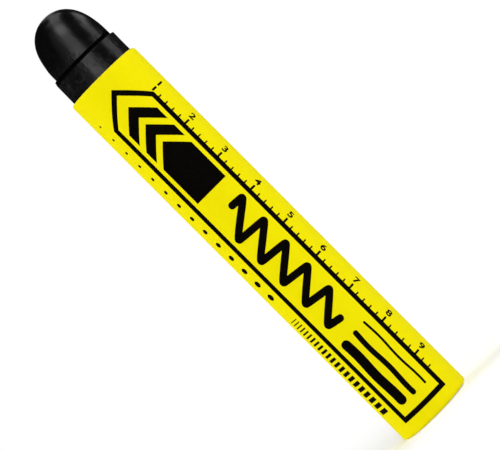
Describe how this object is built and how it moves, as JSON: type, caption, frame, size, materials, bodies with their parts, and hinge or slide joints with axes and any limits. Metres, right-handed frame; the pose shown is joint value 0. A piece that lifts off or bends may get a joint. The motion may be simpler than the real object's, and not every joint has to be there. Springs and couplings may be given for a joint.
{
  "type": "paint stick",
  "caption": "Solid paint marker: a rod of black cast paint with a domed nose and a stepped collar, sealed by its own dried skin and held in a wound paper sleeve with a yellow label.",
  "frame": {"origin": "centre of the flat base, on the surface that the stick stands on", "axes": "+Z along the stick from its base to its nose; the front of the label faces -Y and the label's lapped seam is at the back, near +Y"},
  "size_m": [0.0188, 0.0189, 0.1207],
  "materials": {
    "cast_paint": "waxy matt solid paint, black",
    "dried_paint": "satin dried paint film, black",
    "greaseproof_paper": "smooth dense greaseproof paper, tan",
    "grey_board": "bare wound board, grey brown",
    "yellow_label": "coated paper printed yellow, soft sheen",
    "glue": "dried paper glue, cream"
  },
  "bodies": {
    "sleeve": {"board_tube": "grey_board", "liner": "greaseproof_paper", "printed_label": "yellow_label", "pickup_glue": "glue", "lap_glue": "glue"},
    "stick": {"paint_core": "cast_paint", "nose_skin": "dried_paint"}
  },
  "joints": [
    {"name": "core_slide", "type": "slide", "parent": "sleeve", "child": "stick", "axis": [0, 0, 1], "range_m": [0, 0.08]}
  ]
}
